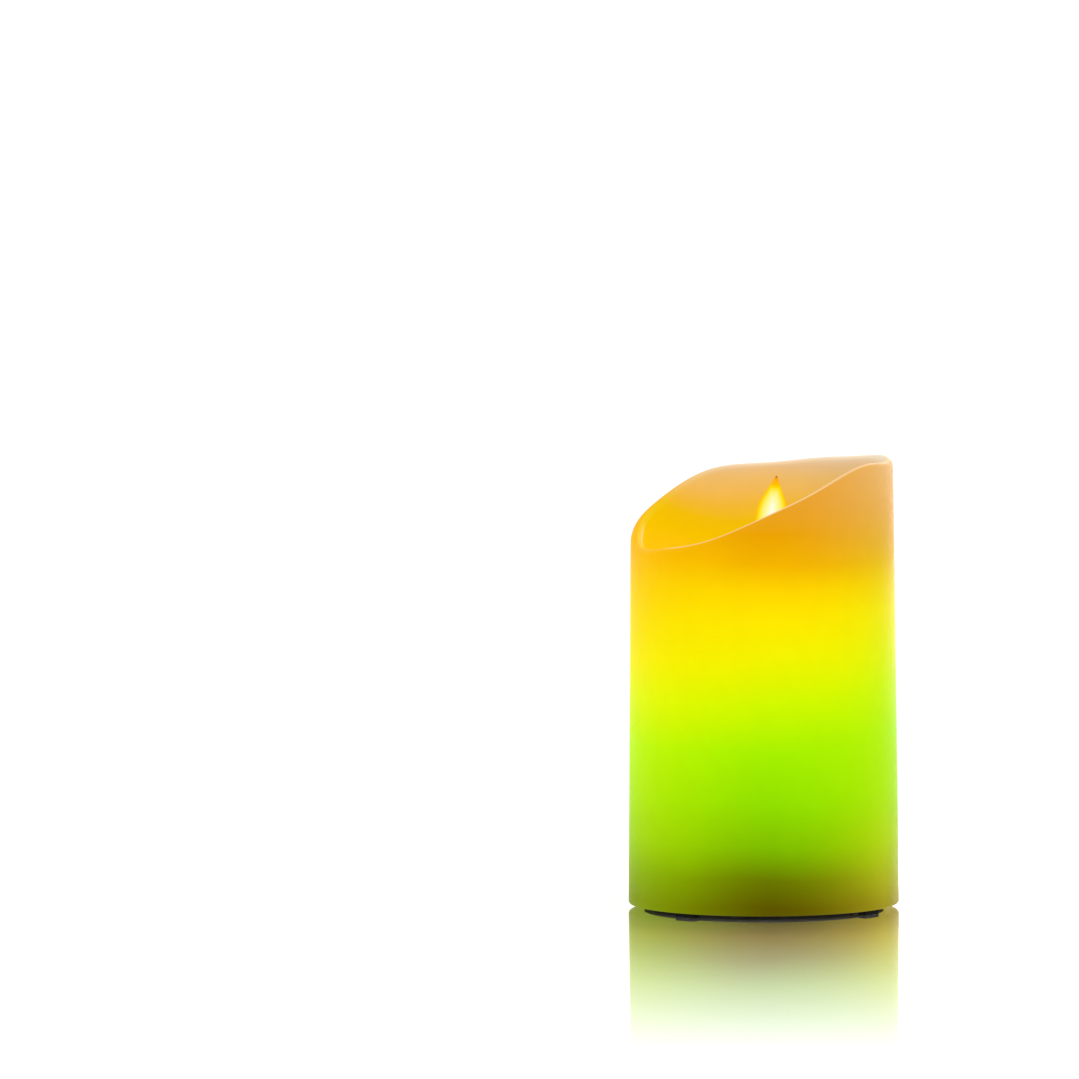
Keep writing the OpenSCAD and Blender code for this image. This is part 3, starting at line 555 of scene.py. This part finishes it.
FLOOR_HALF = 4000        # half the floor's side
MIRROR_END = 320         # the polish of the floor fades out at this radius
MIRROR_SHARE = 0.96      # mirror share of the floor at the candle's foot
MIRROR_FADE = 1.85       # how much later than evenly the polish fades
VIEW_FACING = 0.894      # how edge-on the floor is to the camera, from 0 to 1
WHITE = 1.12             # radiance of the white room
POLISH = (1, 0.94, 0.9, 1)    # tint of the reflection
GLOW_SPILL = (0.11, 0.05, 0, 1)     # warm glow of the candle, painted as light over the reflection
GLOW_SPILL_FULL = 90           # radius at which the painted glow has its full strength
CARD_AZIMUTH = 24        # degrees from +Y towards +X
CARD_WIDTH = 40          # degrees, seen from the candle
CARD_HEIGHT = 900
CARD_AWAY = 900
CARD_RADIANCE = (3, 3, 3.2, 1)
SOFT_BOX_AT = (900, -900, 1300)
SOFT_BOX_AIM = (0, 0, 60)
SOFT_BOX_SIZE = 900
SOFT_BOX_WATTS = 3.0
CAMERA_AT = (-62.5, -1431, 150)
CAMERA_LENS = 170.2      # focal length
CAMERA_SENSOR = 36       # sensor width
CAMERA_DOWN = 1.86       # degrees below the horizon
CAMERA_ROLL = -0.33      # degrees


def floor_material():
    """White table top whose polish fades out round the candle, with the candle's warm glow painted
    over the reflection.
    """
    p = Nodes("table_top")
    distance = p.distance(p.place)
    along = p.span(distance, mm(FOOT_R), mm(MIRROR_END), smooth=False)
    fading = p.math("SUBTRACT", 1.0, p.math("POWER", along, MIRROR_FADE))
    facing = p.add("ShaderNodeLayerWeight", {"Blend": 0.5}).outputs["Facing"]
    edge_on = p.math("MINIMUM", p.math("POWER", p.math("DIVIDE", facing, VIEW_FACING), 3.0), 1.0)
    share = p.math("MULTIPLY", p.math("MULTIPLY", fading, edge_on), MIRROR_SHARE)
    dull = p.add("ShaderNodeBsdfDiffuse", {"Color": (0.95, 0.95, 0.95, 1)})
    glossy = p.add("ShaderNodeBsdfGlossy", {"Color": POLISH, "Roughness": 0.02})
    # painted light: the candle's warm glow, added as emission over the floor's reflection
    glow_spill = p.add("ShaderNodeEmission", {
        "Color": GLOW_SPILL, "Strength": p.span(distance, mm(FOOT_R), mm(GLOW_SPILL_FULL))})
    polish = p.add("ShaderNodeAddShader", {0: glossy.outputs[0], 1: glow_spill.outputs[0]})
    top = p.add("ShaderNodeMixShader", {0: share, 1: dull.outputs[0], 2: polish.outputs[0]})
    # seen from below the table top is clear, so that the candle's underside shows
    behind = p.add("ShaderNodeNewGeometry").outputs["Backfacing"]
    clear = p.add("ShaderNodeBsdfTransparent")
    surface = p.add("ShaderNodeMixShader", {0: behind, 1: top.outputs[0], 2: clear.outputs[0]})
    p.show(surface.outputs[0])
    return p.material


def stage_sheet(name, corners, material, hidden_from):
    """A flat four-sided piece of the stage, which some kinds of ray don't see."""
    mesh = bpy.data.meshes.new(name)
    mesh.from_pydata(corners, [], [(0, 1, 2, 3)])
    mesh.materials.append(material)
    sheet = bpy.data.objects.new(name, mesh)
    for kind in hidden_from:
        setattr(sheet, "visible_" + kind, False)
    bpy.context.scene.collection.objects.link(sheet)


def make_floor():
    corners = [mm(x * FLOOR_HALF, y * FLOOR_HALF, 0) for x, y in ((-1, -1), (1, -1), (1, 1), (-1, 1))]
    stage_sheet("table_top", corners, floor_material(), ["diffuse"])


def make_card():
    """An upright white card behind the candle that only shows in the gloss of materials."""
    corners = []
    for turn, z in ((-0.5, 0), (0.5, 0), (0.5, CARD_HEIGHT), (-0.5, CARD_HEIGHT)):
        angle = math.radians(CARD_AZIMUTH + CARD_WIDTH * turn)
        corners.append(mm(CARD_AWAY * math.sin(angle), CARD_AWAY * math.cos(angle), z))
    p = Nodes("white_card")
    p.show(p.add("ShaderNodeEmission", {"Color": CARD_RADIANCE}).outputs[0])
    stage_sheet("white_card", corners, p.material,
                ["camera", "diffuse", "transmission", "volume_scatter", "shadow"])


def make_light():
    """A white room, and one large soft box in front and to the right."""
    world = bpy.data.worlds.new("room")
    world.use_nodes = True
    room = world.node_tree.nodes["Background"].inputs
    room["Color"].default_value = (1, 1, 1, 1)
    room["Strength"].default_value = WHITE
    bpy.context.scene.world = world
    lamp = bpy.data.lights.new("soft_box", "AREA")
    lamp.shape = "DISK"
    lamp.size = mm(SOFT_BOX_SIZE)
    lamp.energy = SOFT_BOX_WATTS
    holder = bpy.data.objects.new("soft_box", lamp)
    holder.location = mm(*SOFT_BOX_AT)
    aim = mm(*SOFT_BOX_AIM) - holder.location
    holder.rotation_euler = aim.to_track_quat("-Z", "Y").to_euler()
    bpy.context.scene.collection.objects.link(holder)


def make_camera():
    """A long lens a little above the candle's top, and to its left."""
    data = bpy.data.cameras.new("camera")
    data.lens = CAMERA_LENS
    data.sensor_width = CAMERA_SENSOR
    data.clip_end = 100
    camera = bpy.data.objects.new("camera", data)
    turn = Euler((math.radians(90 - CAMERA_DOWN), 0, 0)).to_matrix().to_4x4()
    roll = Matrix.Rotation(math.radians(CAMERA_ROLL), 4, "Z")
    camera.matrix_world = Matrix.Translation(mm(*CAMERA_AT)) @ turn @ roll
    bpy.context.scene.collection.objects.link(camera)
    bpy.context.scene.camera = camera


make_camera()
make_light()
make_floor()
make_card()
paint_frame()
make_wax()
bpy.context.scene.view_settings.view_transform = "Standard"
